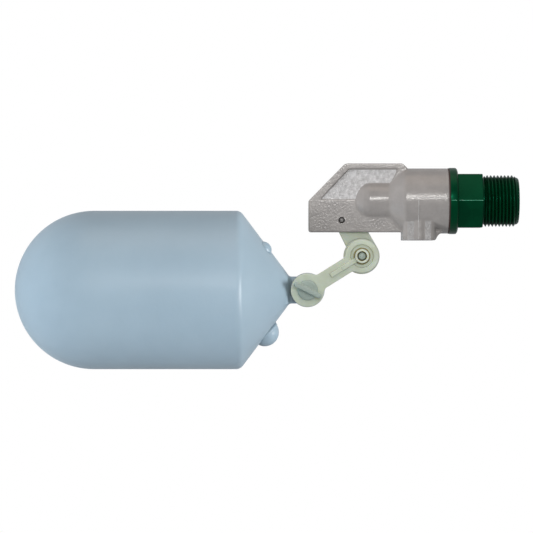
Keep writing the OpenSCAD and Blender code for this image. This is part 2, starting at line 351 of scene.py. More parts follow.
def metal(name, colour, roughness):
    """Drawn stainless steel with fine scratches."""
    material, tree, shader, make = node_material(name)
    link = tree.links.new
    place = make("ShaderNodeTexCoord").outputs["Object"]
    stretch = make("ShaderNodeMapping")
    stretch.inputs["Scale"].default_value = (1, 8, 1)
    link(place, stretch.inputs["Vector"])
    lines = make("ShaderNodeTexNoise", Scale=400.0, Detail=5.0, Roughness=0.7)
    link(stretch.outputs["Vector"], lines.inputs["Vector"])
    gloss = make("ShaderNodeMapRange")
    gloss.inputs["To Min"].default_value = roughness - 0.1
    gloss.inputs["To Max"].default_value = roughness + 0.12
    link(lines.outputs["Fac"], gloss.inputs["Value"])
    link(gloss.outputs["Result"], shader.inputs["Roughness"])
    relief = make("ShaderNodeBump", Strength=0.08, Distance=0.0002)
    link(lines.outputs["Fac"], relief.inputs["Height"])
    link(relief.outputs["Normal"], shader.inputs["Normal"])
    ramp = make("ShaderNodeValToRGB")
    ramp.color_ramp.elements[0].color = (*[0.75 * c for c in colour], 1)
    ramp.color_ramp.elements[1].color = (*colour, 1)
    link(lines.outputs["Fac"], ramp.inputs["Fac"])
    link(ramp.outputs["Color"], shader.inputs["Base Color"])
    shader.inputs["Metallic"].default_value = 1.0
    return material


FLOAT_PLASTIC = moulded_plastic(
    "float_plastic",
    (0.322, 0.420, 0.490),
    (0.294, 0.388, 0.456),
    0.36,
    grain=420,
    bump=0.12,
    mottle=26,
    glow=0.35,
    glow_mm=6,
)
CASING_PLASTIC = moulded_plastic(
    "casing_plastic",
    (0.318, 0.296, 0.280),
    (0.268, 0.250, 0.238),
    0.22,
    grain=900,
    bump=0.30,
    mottle=110,
    glow=0.15,
    glow_mm=2,
)
# painted highlight: the panel's lighter, speckled colour stands in for the flash's sparkling
# reflection off the textured panel floor; the grain bump is real texture
PANEL_PAINTED_HIGHLIGHT = moulded_plastic(
    "casing_panel_painted_highlight",
    (0.640, 0.624, 0.620),
    (0.400, 0.386, 0.380),
    0.20,
    grain=1700,
    bump=1.0,
    mottle=650,
    glow=0.15,
    glow_mm=2,
)
# painted highlight: a lighter colour on the spout's flat strips stands in for the bands of
# reflected light on them
STRIP_PAINTED_HIGHLIGHT = moulded_plastic(
    "casing_strip_painted_highlight",
    (0.370, 0.358, 0.352),
    (0.260, 0.248, 0.240),
    0.24,
    grain=1500,
    bump=0.6,
    mottle=420,
    glow=0.15,
    glow_mm=2,
)
# painted highlight: the lighter colour of the raised parting lines stands in for the light they
# catch
SEAM_PAINTED_HIGHLIGHT = moulded_plastic(
    "casing_seam_painted_highlight",
    (0.62, 0.60, 0.58),
    (0.36, 0.34, 0.33),
    0.25,
    grain=1500,
    bump=0.5,
    mottle=400,
)
ADAPTER_PLASTIC = moulded_plastic(
    "adapter_plastic",
    (0.0005, 0.033, 0.0115),
    (0.0003, 0.023, 0.0078),
    0.28,
    grain=500,
    bump=0.05,
    mottle=120,
    shine=0.34,
    shine_tint=(0.04, 0.72, 0.36),
)
# painted highlight: the light green of the adapter's raised parting lines stands in for the light
# they catch
ADAPTER_SEAM_HIGHLIGHT = moulded_plastic(
    "adapter_seam_painted_highlight", (0.10, 0.42, 0.26), (0.04, 0.26, 0.15), 0.2, grain=500, mottle=300
)
LEVER_PLASTIC = moulded_plastic(
    "lever_plastic",
    (0.770, 0.845, 0.700),
    (0.700, 0.760, 0.600),
    0.34,
    grain=800,
    bump=0.10,
    mottle=160,
    glow=0.4,
    glow_mm=3,
    glow_tint=(1.0, 0.85, 0.5),
)
# painted shade: a darker, yellower colour on the narrow sides of the lever and link
RIM_PAINTED_SHADE = moulded_plastic(
    "lever_rim_painted_shade",
    (0.480, 0.480, 0.330),
    (0.400, 0.385, 0.240),
    0.34,
    grain=800,
    bump=0.10,
    mottle=220,
    glow=0.4,
    glow_mm=2,
    glow_tint=(1.0, 0.8, 0.45),
)
# painted shade: a dark amber in the link's dish round its boss and in its holes
RECESS_PAINTED_SHADE = moulded_plastic(
    "link_recess_painted_shade",
    (0.400, 0.350, 0.150),
    (0.300, 0.240, 0.080),
    0.36,
    grain=800,
    bump=0.10,
    mottle=300,
    glow=0.4,
    glow_mm=2,
    glow_tint=(1.0, 0.7, 0.3),
)
SCREW_PLASTIC = moulded_plastic(
    "screw_plastic",
    (0.515, 0.610, 0.550),
    (0.445, 0.525, 0.455),
    0.30,
    grain=800,
    bump=0.08,
    mottle=200,
    glow=0.4,
    glow_mm=2,
)
NOZZLE_PLASTIC = moulded_plastic("nozzle_plastic", (0.80, 0.80, 0.77), (0.72, 0.72, 0.69), 0.3)
PLUNGER_PLASTIC = moulded_plastic(
    "plunger_plastic", (0.72, 0.72, 0.66), (0.65, 0.64, 0.57), 0.32, glow=0.2
)
GASKET_RUBBER = moulded_plastic(
    "gasket_rubber", (0.050, 0.014, 0.010), (0.03, 0.008, 0.006), 0.6, bump=0.2
)
SEAL_RUBBER = moulded_plastic(
    "seal_rubber", (0.022, 0.022, 0.022), (0.012, 0.012, 0.012), 0.55, bump=0.2
)
PIN_STEEL = metal("pin_steel", (0.30, 0.29, 0.28), 0.48)
SCREEN_STEEL = metal("screen_steel", (0.58, 0.58, 0.58), 0.34)

CAD_LOOKS = {
    "flange_gasket": GASKET_RUBBER,
    "adapter_o_ring": SEAL_RUBBER,
    "plunger_o_ring": SEAL_RUBBER,
    "seat_disc": SEAL_RUBBER,
    "nozzle_seat": NOZZLE_PLASTIC,
    "inlet_screen": SCREEN_STEEL,
    "screen_ring": ADAPTER_PLASTIC,
    "plunger": PLUNGER_PLASTIC,
    "disc_retainer": PLUNGER_PLASTIC,
}
for node, look in CAD_LOOKS.items():
    shown = frame["nodes"][node]
    shown.data.materials.clear()
    shown.data.materials.append(look)

# ---------------------------------------------------------------- float

FLOAT_R = 41.1
SEAM_H = 0.25
DOME_X = -110.6
SHOULDER = (-34.8, FLOAT_R - SEAM_H)
NECK = (-9.4, 7.0)
NECK_TIP_X = -5.4
LUG_R = 8.9
LUG_END_ANGLE = 2.0
LUG_HOLE_R = 2.45
LUG_BLEND_X, LUG_BLEND_L = -11.6, 3.4  # where the round neck turns into the flat lug
BARREL_END = -42
INSIDE_X = -60  # a place well inside the barrel, behind the shoulder's fillet
SHOULDER_FILLET, NECK_FILLET = 4.5, 2.6
SECTION_STEP = 1.5
SEAM_DEGREES = 0.7


def smooth_step(t):
    t = min(max(t, 0.0), 1.0)
    return t * t * (3 - 2 * t)


def float_outline():
    """The float's half-height along its axis, from the dome's tip to the lug's end."""
    body_r = FLOAT_R - SEAM_H
    dome = [
        (DOME_X - FLOAT_R * math.cos(a), body_r * math.sin(a))
        for a in (math.radians(d) for d in np.linspace(0.4, 90, 56))
    ]
    barrel = [(x, body_r) for x in np.linspace(DOME_X, BARREL_END, 40)[1:]]
    tip = [(NECK_TIP_X, NECK[1]), (NECK_TIP_X, 0)]
    corner = [(INSIDE_X, body_r), SHOULDER, NECK, *tip, (INSIDE_X, 0)]
    turned = rounded(corner, [0, SHOULDER_FILLET, NECK_FILLET, 0, 0, 0], steps=14)
    cone = [p for p in turned if p[0] > BARREL_END and p[1] >= NECK[1] - 0.01]
    lug_start = math.degrees(math.acos(NECK_TIP_X / LUG_R))
    lug = [
        (LUG_R * math.cos(a), LUG_R * math.sin(a))
        for a in (math.radians(d) for d in np.linspace(lug_start, LUG_END_ANGLE, 46))
    ]
    return subdivide(dome + barrel + cone + lug[1:], SECTION_STEP)


def subdivide(outline, step):
    """Adds points so that none is further along the axis than step from the next."""
    result = [outline[0]]
    for start, end in zip(outline, outline[1:]):
        parts = max(1, math.ceil((end[0] - start[0]) / step))
        result += [tuple(Vector(start).lerp(Vector(end), i / parts)) for i in range(1, parts + 1)]
    return result


def float_ring(x, half_height):
    """One section: round on the body, and a flat slab with soft corners on the lug."""
    flatten = smooth_step((x - LUG_BLEND_X) / LUG_BLEND_L)
    half_width = half_height * (1 - flatten) + LUG_HALF * flatten
    power = 2 + 9 * flatten
    ring = []
    for angle in FLOAT_ANGLES:
        c, s = math.cos(angle), math.sin(angle)
        y = half_width * math.copysign(abs(c) ** (2 / power), c)
        z = half_height * math.copysign(abs(s) ** (2 / power), s)
        ridge = SEAM_H * seam_height(angle) * (1 - flatten)
        length = math.hypot(y, z)
        grow = 1 + ridge / length if length > 2 else 1
        ring.append((x, y * grow, z * grow))
    return ring


def seam_height(angle):
    """1 on the mould's parting line, over the top and the bottom, and 0 away from it."""
    off = abs(abs(math.degrees(math.atan2(math.sin(angle), math.cos(angle)))) - 90)
    return max(0.0, 1 - off / SEAM_DEGREES)


def float_angles():
    """Points round a section, close together at the parting line."""
    angles = [math.radians(d) for d in np.arange(0, 360, 2.0)]
    near = [SEAM_DEGREES * part for part in (-1, -0.5, 0.5, 1)]
    extra = [math.radians(top + off) for top in (90, 270) for off in near]
    return sorted(angles + extra)


FLOAT_ANGLES = float_angles()


def make_float():
    piece = loft("float", [float_ring(x, h) for x, h in float_outline()])
    cut(piece, rod_y((0, 0), -12, 12, LUG_HOLE_R, 64))
    move(piece, FLOAT_EYE)
    sharpen(piece, 50)
    finish_piece(piece, "float_body", "float", "float_plastic", FLOAT_PLASTIC, "float_shell")


CONE_SLOPE = (FLOAT_R - NECK[1]) / (-SHOULDER[0] + NECK[0])
CONE_ANGLE = math.degrees(math.atan(1 / CONE_SLOPE))
PLUG_ALONG = -21.6
PLUG_ROOT = -1.6


def on_cone(piece, degrees):
    """Moves a piece from z = 0 on to the float's cone, some degrees round from its bottom."""
    turn(piece, "Y", 180 - CONE_ANGLE)
    move(piece, PLUG_ALONG, 0, -NECK[1] - (NECK[0] - PLUG_ALONG) * CONE_SLOPE)
    turn(piece, "X", degrees)
    return move(piece, FLOAT_EYE)


def make_plug(name, radius, height, degrees, node):
    """A domed plug with a soft fillet where it meets the cone."""
    ball = (radius**2 + height**2) / (2 * height)
    half = math.asin(radius / ball)
    edge = half if height < ball else math.pi - half
    dome = [
        (height - ball + ball * math.cos(a), ball * math.sin(a))
        for a in np.linspace(0.004, edge * 0.96, 30)
    ]
    foot_x, foot_r = dome[-1]
    skirt = [(foot_x - 0.35, foot_r + 0.10), (foot_x - 0.6, foot_r + 0.35)]
    root = [(PLUG_ROOT, foot_r + 0.5), (PLUG_ROOT, 0)]
    piece = lathe("plug", (dome + skirt + root)[::-1], 96)
    turn(piece, "Y", -90)
    on_cone(piece, degrees)
    return finish_piece(piece, name, "float", "float_plastic", FLOAT_PLASTIC, node)


make_float()
make_plug("float_fill_boss", radius=7.3, height=6.5, degrees=14, node="float_fill_plug")
make_plug("float_vent_boss", radius=3.8, height=2.1, degrees=196, node="float_vent_plug")

# ---------------------------------------------------------------- casing

PLATE_LEFT, PLATE_TOP = CASING_LOW.x, CASING_HIGH.z
PLATE_BOTTOM = -16.2
PLATE_RIGHT = -49.0
SLOPE_TOP_X = -81.2
PLATE_HALF = 6.5
SLOT_HALF = 3.4
SLOT_END = -68.9
SLOT_ROOF = PLATE_TOP - 2.6
PANEL_DEPTH = 1.35
PANEL_LOW = 0.4
PANEL_TOP = PLATE_TOP - 2.8
PANEL_RIGHT = -58.5
PIN_HOLE_R = 1.68
NOSE_R = 10.4
NOSE_START, NOSE_L = -76.6, 8.2
CHAMBER_R = CASING_HIGH.y
CHAMBER_BORE_R = 13.55
CHAMBER_WALL_END = -49.6
STEM_BORE_R = 5.6
STEM_BORE_START = -74.2
SPOUT_X = -43.3
SPOUT_HALF = (8.4, 13.3)
SPOUT_BORE_R = 5.6
SPOUT_END = CASING_LOW.z
SPOUT_CORNER_R = 2.6
SWELL_R, SWELL_RISE, SWELL_HALF = 7.0, 0.45, 2.5
SWELL_TOP = -6
STRIP_TOP = -10.6
WEB_HALF, WEB_TOP = 8, -12
CASING_VOXEL = 0.34


def plate_outline():
    """The side plates' outline, with the corners rounded as moulded."""
    corners = [
        (PLATE_LEFT, PLATE_BOTTOM),
        (PLATE_RIGHT, PLATE_BOTTOM),
        (PLATE_RIGHT, PLATE_TOP - 2.4),
        (PLATE_RIGHT - 2.6, PLATE_TOP),
        (SLOPE_TOP_X, PLATE_TOP),
        (PLATE_LEFT, 0.1),
    ]
    return rounded(corners, [1.2, 0, 0.8, 1.6, 3.2, 1.2])


def panel_outline():
    """The sunk panel in the upper half of each side plate."""
    corners = [
        (PLATE_LEFT + 5.6, 0.4),
        (SLOPE_TOP_X + 1.9, PANEL_TOP),
        (-53.4, PANEL_TOP),
        (PANEL_RIGHT, 8.0),
        (PANEL_RIGHT, 0.4),
    ]
    return rounded(corners, [0.6, 1.2, 0.6, 0, 0])


def panel_cutter(side):
    """A block that sinks the panel, deeper at the top, as the mould's draft leaves it."""
    outline = panel_outline()
    top, bottom = max(z for _, z in outline), min(z for _, z in outline)
    floor = []
    for x, z in outline:
        depth = PANEL_LOW + (PANEL_DEPTH - PANEL_LOW) * (z - bottom) / (top - bottom)
        floor.append((x, side * (PLATE_HALF - depth), z))
    face = [(x, side * (PLATE_HALF + 1), z) for x, z in outline]
    return loft("panel", [floor, face])


def slot_outline():
    """The slot between the side plates, open at the left and below."""
    left = -103
    return [
        (left, -PAST),
        (SLOT_END, -PAST),
        (SLOT_END, SLOT_ROOF),
        (SLOPE_TOP_X + 1.5, SLOT_ROOF),
        (left, -5.4),
    ]


def make_casing():
    piece = prism_y(plate_outline(), -PLATE_HALF, PLATE_HALF)
    for side in (-1, 1):
        cut(piece, panel_cutter(side))
    body = lathe(
        "body",
        [
            (-76.4, 0),
            (-76.4, 4.4),
            (-75.7, 6.3),
            (-74.0, 8.2),
            (-71.8, 9.6),
            (-69.4, 10.3),
            (-68.4, NOSE_R),
            (-58.6, NOSE_R),
            (-57.6, NOSE_R + 0.45),
            (-51.6, CHAMBER_R - 0.55),
            (-50.6, CHAMBER_R - 0.1),
            (-49.8, CHAMBER_R),
            (GASKET_LOW.x, CHAMBER_R),
            (GASKET_LOW.x, 0),
        ],
        180,
    )
    add(piece, body, make_spout(), make_web())
    cut(
        piece,
        rod_x(CHAMBER_WALL_END, 0, CHAMBER_BORE_R, 160),
        rod_x(STEM_BORE_START, -40, STEM_BORE_R),
        prism_y(slot_outline(), -SLOT_HALF, SLOT_HALF),
        rod_z((SPOUT_X, 0), SPOUT_END - 5, -2, SPOUT_BORE_R),
    )
    mould(piece, CASING_VOXEL, 3)
    cut(piece, rod_y((PIVOT.x, PIVOT.z), -PAST, PAST, PIN_HOLE_R, 48))
    finish_piece(
        piece, "casing_moulding", "valve", "casing_plastic", CASING_PLASTIC, "valve_casing"
    )
    # painted highlight on the sunk panels' floors, as a lighter speckled colour
    paint(piece, PANEL_PAINTED_HIGHLIGHT, on_panel_highlight)
    # painted highlight on the spout's flat strips, as a lighter colour
    paint(piece, STRIP_PAINTED_HIGHLIGHT, on_strip_highlight)
    sharpen(piece, 60)


def make_spout():
    """The outlet's block, with round corners and a low swell between its two flat strips."""
    half_w, half_depth = SPOUT_HALF
    ways = ((-1, -1), (1, -1), (1, 1), (-1, 1))
    corners = [(SPOUT_X + i * half_w, j * half_depth) for i, j in ways]
    outline = rounded(corners, [SPOUT_CORNER_R] * 4, 8)
    piece = loft("spout", [[(x, y, z) for x, y in outline] for z in (SPOUT_END, 0)])
    for side in (-1, 1):
        place = (SPOUT_X, side * (half_depth + SWELL_RISE - SWELL_R))
        swell = rod_z(place, SPOUT_END, SWELL_TOP, SWELL_R)
        low = (SPOUT_X - SWELL_HALF, -PAST, SPOUT_END)
        high = (SPOUT_X + SWELL_HALF, PAST, SWELL_TOP)
        add(piece, combine(swell, [box_piece(low, high)], "INTERSECT"))
    return piece


def make_web():
    """The web that slopes from the spout up to the chamber's underside."""
    x, z = SPOUT_X + SPOUT_HALF[0], SPOUT_END
    outline = [(x - 1, z + 0.2), (x + 0.3, z + 0.2), (x + 0.9, z + 1.2), (x + 1.5, z + 2.4)]
    outline += [(x + 2.4, z + 3.2), (x + 3.6, z + 3.7), (x + 3.6, WEB_TOP), (x - 1, WEB_TOP)]
    return prism_y(outline, -WEB_HALF, WEB_HALF)


def nose_radius(x):
    """The nose's radius near its rounded tip."""
    along = min(max((x - NOSE_START) / NOSE_L, 0.0), 1.0)
    return NOSE_R * math.sqrt(1 - (1 - along) ** 2)


FACING = 0.8  # a face whose normal's Y is over this looks to the front or the back


def on_panel_highlight(centre, normal):
    """True for a point, in millimetres, on a sunk panel's floor and clear of the nose; these
    faces get a painted highlight.
    """
    x, y, z = centre
    depth = PLATE_HALF - abs(y)
    inside = PLATE_LEFT + 5 < x < -55 and 0.6 < z < PLATE_TOP - 3.0
    below_slope = z < x - PLATE_LEFT - 4.6
    clear = math.hypot(y, z) > nose_radius(x) + 0.4
    return inside and below_slope and clear and 0.3 < depth < 1.6 and abs(normal.y) > FACING


def on_strip_highlight(centre, normal):
    """True for a point, in millimetres, on one of the spout's flat strips, which get a painted
    highlight.
    """
    x, y, z = centre
    across = 2.9 < abs(x - SPOUT_X) < 6.0
    on_face = abs(y) > SPOUT_HALF[1] - 0.5 and abs(normal.y) > FACING
    return across and z < STRIP_TOP and on_face


def paint(piece, material, chosen):
    """Gives a material to the faces chosen by their centre, in millimetres, and normal."""
    piece.data.materials.append(material)
    index = len(piece.data.materials) - 1
    for polygon in piece.data.polygons:
        if chosen(polygon.center / MM, polygon.normal):
            polygon.material_index = index
    return piece


def make_pin():
    """The pin, with its ends rounded over just inside the plates."""
    half = node_box("pivot_pin")[1].y
    rounding = [(0, 0.0), (0.02, 0.5), (0.12, 1.0), (0.35, 1.35), (0.6, 1.6)]
    end = [(half - back, r) for back, r in rounding]
    profile = [(-x, r) for x, r in end] + end[::-1]
    piece = turn(lathe("pin", profile, 64), "Z", 90)
    move(piece, PIVOT)
    finish_piece(piece, "pivot_pin_ground", "valve", "pin_steel", PIN_STEEL, "pivot_pin")


SEAM_LINE_R = 0.16


def seam_line(name, points, body, material):
    """A fine raised parting line along points in millimetres."""
    curve = bpy.data.curves.new(name, "CURVE")
    curve.dimensions = "3D"
    curve.bevel_depth = SEAM_LINE_R * MM
    curve.bevel_resolution = 2
    spline = curve.splines.new("POLY")
    spline.points.add(len(points) - 1)
    for target, point in zip(spline.points, points):
        target.co = (*[c * MM for c in point], 1)
    piece = bpy.data.objects.new(name, curve)
    bpy.context.scene.collection.objects.link(piece)
    curve.materials.append(material)
    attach(piece, body)
    return piece


SIDES = ((-1, "front"), (1, "back"))


def make_casing_seams():
    """The raised parting lines along the chamber and down the spout, on the front and the back,
    with a painted highlight as their lighter colour.
    """
    for side, word in SIDES:
        y = side * (CHAMBER_R - 0.10)
        along = [(x, y, 1.4) for x in (-46.4, -36, GASKET_LOW.x - 0.2)]
        seam_line(f"casing_seam_{word}", along, "valve", SEAM_PAINTED_HIGHLIGHT)
        down = []
        for z in np.linspace(0, SPOUT_END + 0.4, 40):
            chamber = math.sqrt(max(CHAMBER_R**2 - z**2, 0))
            down.append((SPOUT_X - 0.4, side * max(chamber - 0.02, SPOUT_HALF[1] + 0.40), z))
        seam_line(f"spout_seam_{word}", down, "valve", SEAM_PAINTED_HIGHLIGHT)


make_casing()
make_casing_seams()
make_pin()

# ---------------------------------------------------------------- inlet adapter

THREAD_PITCH = 1.814
THREAD_R = 13.33
THREAD_DEPTH = 1.33
THREAD_LAND = 2.3
HEX_FLATS = 27.7
HEX_CORNER = HEX_FLATS / 2 / math.cos(math.pi / 6)
HEX_L = 12.8
FLANGE_R = ADAPTER_HIGH.y
FLANGE_T = 4.25
PLUG_R = 13.5
BORE_R = 8.8
FLANGE_X = GASKET_HIGH.x
HEX_X = FLANGE_X + FLANGE_T
NECK_X = HEX_X + HEX_L
INLET_X = ADAPTER_HIGH.x


def make_helix(start, end, root, crest, core):
    """A bar about X with one V-shaped thread, whose crest and root lines follow the helix."""
    per_turn = 96
    steps = round((end - start) / THREAD_PITCH * per_turn)

    def line(first_x, radius, count):
        points = []
        for step in range(count):
            angle = 2 * math.pi * step / per_turn
            x = first_x + THREAD_PITCH * step / per_turn
            points.append((x, radius * math.cos(angle), radius * math.sin(angle)))
        return points

    lines = [
        line(start, core, steps + 1 + per_turn),
        line(start, root, steps + 1 + per_turn),
        line(start + 0.44 * THREAD_PITCH, crest, steps + 1),
        line(start + 0.56 * THREAD_PITCH, crest, steps + 1),
    ]
    verts = [point for points in lines for point in points]
    inner, valley, rise, fall = (sum(len(points) for points in lines[:k]) for k in range(4))
    faces = []
    for s in range(steps):
        n = s + per_turn
        faces.append((valley + s, valley + s + 1, rise + s + 1, rise + s))
        faces.append((rise + s, rise + s + 1, fall + s + 1, fall + s))
        faces.append((fall + s, fall + s + 1, valley + n + 1, valley + n))
        faces.append((inner + s, inner + s + 1, inner + n + 1, inner + n))
    for first in (0, steps):
        for s in range(first, first + per_turn):
            faces.append((inner + s, inner + s + 1, valley + s + 1, valley + s))
        last = first + per_turn
        flank = (valley + first, rise + first, fall + first, valley + last)
        faces.append((inner + first, *flank, inner + last))
    return make_object("helix", verts, faces)


def make_thread():
    """The threaded end: a helix trimmed to run out at the neck and at the chamfered mouth."""
    root = THREAD_R - THREAD_DEPTH
    piece = make_helix(NECK_X - 2.2, INLET_X + 0.4, root, THREAD_R, BORE_R - 2)
    trim = [
        (NECK_X, BORE_R),
        (NECK_X, root + 0.03),
        (NECK_X + 0.7, root + 0.03),
        (NECK_X + 1.5, THREAD_R + 0.05),
        (INLET_X - THREAD_LAND - 0.3, THREAD_R + 0.05),
        (INLET_X - THREAD_LAND + 0.9, root + 0.25),
        (INLET_X - 0.6, root + 0.03),
        (INLET_X, root - 0.6),
        (INLET_X, BORE_R + 0.5),
        (INLET_X - 0.5, BORE_R),
    ]
    return combine(piece, [lathe("trim", trim, 144, closed=True)], "INTERSECT")


def make_hexagon():
    """The hexagon, with its outer face's edge rounded over."""
    points = [(HEX_CORNER * math.cos(a), HEX_CORNER * math.sin(a)) for a in circle_angles(6)]
    outline = rounded(points, [0.7] * 6, 5)
    sizes = [
        (HEX_X - 0.4, 1.0),
        (NECK_X - 0.5, 1.0),
        (NECK_X - 0.12, 0.988),
        (NECK_X, 0.965),
    ]
    rings = [[(x, y * size, z * size) for y, z in outline] for x, size in sizes]
    piece = loft("hexagon", rings)
    return cut(piece, rod_x(HEX_X - 2, NECK_X + 2, BORE_R, 96))


def make_flange():
    """The flange, with the hollow plug behind it that enters the chamber."""
    profile = [
        (FLANGE_X - 9, 11),
        (FLANGE_X - 9, PLUG_R - 0.6),
        (FLANGE_X - 8.4, PLUG_R),
        (FLANGE_X, PLUG_R),
        (FLANGE_X, FLANGE_R - 0.25),
        (FLANGE_X + 0.25, FLANGE_R),
        (HEX_X - 1.15, FLANGE_R),
        (HEX_X - 0.75, FLANGE_R - 0.12),
        (HEX_X - 0.2, FLANGE_R - 0.75),
        (HEX_X, FLANGE_R - 1.3),
        (HEX_X, BORE_R),
        (HEX_X - 2, BORE_R),
        (HEX_X - 2, 11),
    ]
    return lathe("flange", profile, 160, closed=True)


def make_adapter():
    for piece, name, keep in (
        (make_thread(), "adapter_thread", 40),
        (make_hexagon(), "adapter_hexagon", 18),
        (make_flange(), "adapter_flange", 30),
    ):
        finish_piece(piece, name, "valve", "adapter_plastic", ADAPTER_PLASTIC)
        sharpen(piece, keep)
        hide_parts("inlet_adapter")


def make_adapter_seams():
    """The parting lines along the hexagon's front and back corners and on the flange, with a
    painted highlight as their lighter green.
    """
    along_hexagon = (HEX_X + 0.2, (HEX_X + NECK_X) / 2, NECK_X - 0.3)
    along_flange = (FLANGE_X + 0.3, HEX_X - 1.1)
    for side, word in SIDES:
        hexagon = [(x, side * (HEX_CORNER - 0.10), 0) for x in along_hexagon]
        flange = [(x, side * (FLANGE_R - 0.06), 0) for x in along_flange]
        for part, points in (("hexagon", hexagon), ("flange", flange)):
            seam_line(f"{part}_seam_{word}", points, "valve", ADAPTER_SEAM_HIGHLIGHT)


make_adapter()
make_adapter_seams()

# ---------------------------------------------------------------- lever, link and thumb screws

FINE_VOXEL = 0.2
LEVER_OPEN = 80.0
LEVER_HALF = 3.0
LEVER_PIN_HOLE_R = 1.66
LEVER_END = (-16.5, -13.5)
LEVER_END_R = 9.26
CAM_R = 8.15
CAM_C = (9.3 * math.cos(math.radians(-1)), 9.3 * math.sin(math.radians(-1)))
HEAD_RECESS = 0.8
RECESS_R = 6.3
SHANK_R = 2.35


def arc(centre, radius, start, end, steps):
    """Points on an arc, by angles in degrees."""
    return [
        (centre[0] + radius * math.cos(a), centre[1] + radius * math.sin(a))
        for a in (math.radians(d) for d in np.linspace(start, end, steps))
    ]


def make_lever():
    """The cam lever, drawn level about its pin and then hung open."""
    cam = arc(CAM_C, CAM_R, -80, -10, 30)
    edge = (LEVER_END[0] + 0.636 * LEVER_END_R, LEVER_END[1] - 0.771 * LEVER_END_R)
    outline = [(-0.7, 4.3), (-13, -4.8), LEVER_END, edge, (4.9, -7.6), *cam, (17.1, -1.2)]
    piece = prism_y(outline, -LEVER_HALF, LEVER_HALF)
    add(piece, rod_y(LEVER_END, -LUG_HALF, LUG_HALF, LEVER_END_R, 120))
    cut(
        piece,
        rod_y((0, 0), -PAST, PAST, LEVER_PIN_HOLE_R, 48),
        rod_y(LEVER_END, -PAST, PAST, SHANK_R + 0.15, 64),
    )
    for side in (-1, 1):
        recess = rod_y(LEVER_END, LUG_HALF - HEAD_RECESS, LUG_HALF + 1, RECESS_R, 96)
        if side < 0:
            turn(recess, "X", 180)
            move(recess, 0, 0, 2 * LEVER_END[1])
        cut(piece, recess)
    mould(piece, FINE_VOXEL, 3)
    turn(piece, "Y", -LEVER_OPEN)
    move(piece, PIVOT)
    finish_piece(piece, "lever_moulding", "arm", "lever_plastic", LEVER_PLASTIC, "cam_lever")
    paint(piece, RIM_PAINTED_SHADE, on_shaded_rim)


LINK_L = (Vector(FLOAT_EYE) - Vector(LEVER_EYE)).length
LINK_DROP = math.degrees(math.atan2(LEVER_EYE.z - FLOAT_EYE.z, LEVER_EYE.x - FLOAT_EYE.x))
LINK_T = 4.0
LINK_FRONT = LINK_BACK - LINK_T
LINK_END_R = 8.7
LINK_FILLET = 1.4
BOSS_R = 3.65
BAR_HALF = 4.1
DISH_R, DISH_DEPTH = 5.9, 0.7
RIB_L, RIB_HALF, RIB_RISE = 19, 1.2, 1.1


def make_link():
    """The link in its own frame: the boss is at the origin and the plain hole on +X."""
    bar = [(0, -BAR_HALF), (LINK_L, -BAR_HALF), (LINK_L, BAR_HALF), (0, BAR_HALF)]
    piece = prism_y(bar, LINK_FRONT, LINK_BACK)
    ends = [rod_y((x, 0), LINK_FRONT, LINK_BACK, LINK_END_R, 128) for x in (0, LINK_L)]
    reach = LINK_END_R + LINK_FILLET
    join_x = math.sqrt(reach**2 - (BAR_HALF + LINK_FILLET) ** 2)
    touch_x = join_x * LINK_END_R / reach
    add(piece, *ends)
    for x, way in ((0, 1), (LINK_L, -1)):
        for side in (-1, 1):
            corner = [
                (x + way * (join_x - 3.2), side * BAR_HALF * 0.8),
                (x + way * join_x, side * BAR_HALF * 0.8),
                (x + way * join_x, side * BAR_HALF),
                (x + way * touch_x, side * (BAR_HALF + 0.75)),
            ]
            add(piece, prism_y(corner, LINK_FRONT, LINK_BACK))
    cut(piece, rod_y((0, 0), LINK_FRONT - 1, LINK_FRONT + DISH_DEPTH, DISH_R))
    add(piece, rod_y((0, 0), BOSS_FRONT, LINK_BACK, BOSS_R), make_rib())
    cut(
        piece,
        rod_y((0, 0), -PAST, 2, SHANK_R + 0.05, 64),
        rod_y((LINK_L, 0), -PAST, 2, SHANK_R + 0.15, 64),
    )
    mould(piece, FINE_VOXEL, 3)
    turn(piece, "Y", -(180 + LINK_DROP))
    move(piece, LEVER_EYE)
    finish_piece(piece, "link_moulding", "link", "lever_plastic", LEVER_PLASTIC, "extension_link")
    paint(piece, RIM_PAINTED_SHADE, on_shaded_rim)
    paint(piece, RECESS_PAINTED_SHADE, in_link_shaded_recess)


def make_rib():
    """The rib along the link, which slopes down to the bar at its far end."""
    top = LINK_FRONT - RIB_RISE
    outline = [(0, -RIB_HALF), (RIB_L, -RIB_HALF), (RIB_L, RIB_HALF), (0, RIB_HALF)]
    ramp = box_piece((-1, -4, -4), (9, 4, 0))
    turn(ramp, "Z", -12)
    move(ramp, 12.4, top - 3.9, 2)
    return cut(prism_y(outline, top, LINK_BACK), ramp)


def on_shaded_rim(_, normal):
    """True on the narrow sides, given painted shade: a darker, yellower colour for the look of
    light through the plastic's thickness.
    """
    return abs(normal.y) < 0.45


def in_link_shaded_recess(centre, _):
    """True in the link's dish, round the foot of its boss, and in its holes, which get painted
    shade in amber.
    """
    from_boss = math.hypot(centre.x - LEVER_EYE.x, centre.z - LEVER_EYE.z)
    from_hole = math.hypot(centre.x - FLOAT_EYE.x, centre.z - FLOAT_EYE.z)
    dish = BOSS_R - 0.1 < from_boss < BOSS_R + 0.75 and centre.y > LINK_FRONT + 0.1
    return dish or from_boss < SHANK_R + 0.25 or from_hole < SHANK_R + 0.25


HEAD_R, HEAD_T = 5.3, 2.0
BAR_L, BAR_W, BAR_H = 15.7, 2.8, 4.4
HEAD_VOXEL = 0.16
SHANK_PITCH, SHANK_DEPTH = 1.6, 0.42
SHANK_STEP = 0.16
LEVER_SHANK_L = 2 * LUG_HALF - HEAD_RECESS + LINK_T + 2.9
FLOAT_SHANK_L = LINK_T + 2 * LUG_HALF - 0.8


def stadium(length, width):
    """An outline with straight sides and round ends, along X."""
    half = (length - width) / 2
    return arc((half, 0), width / 2, -90, 90, 14) + arc((-half, 0), width / 2, 90, 270, 14)


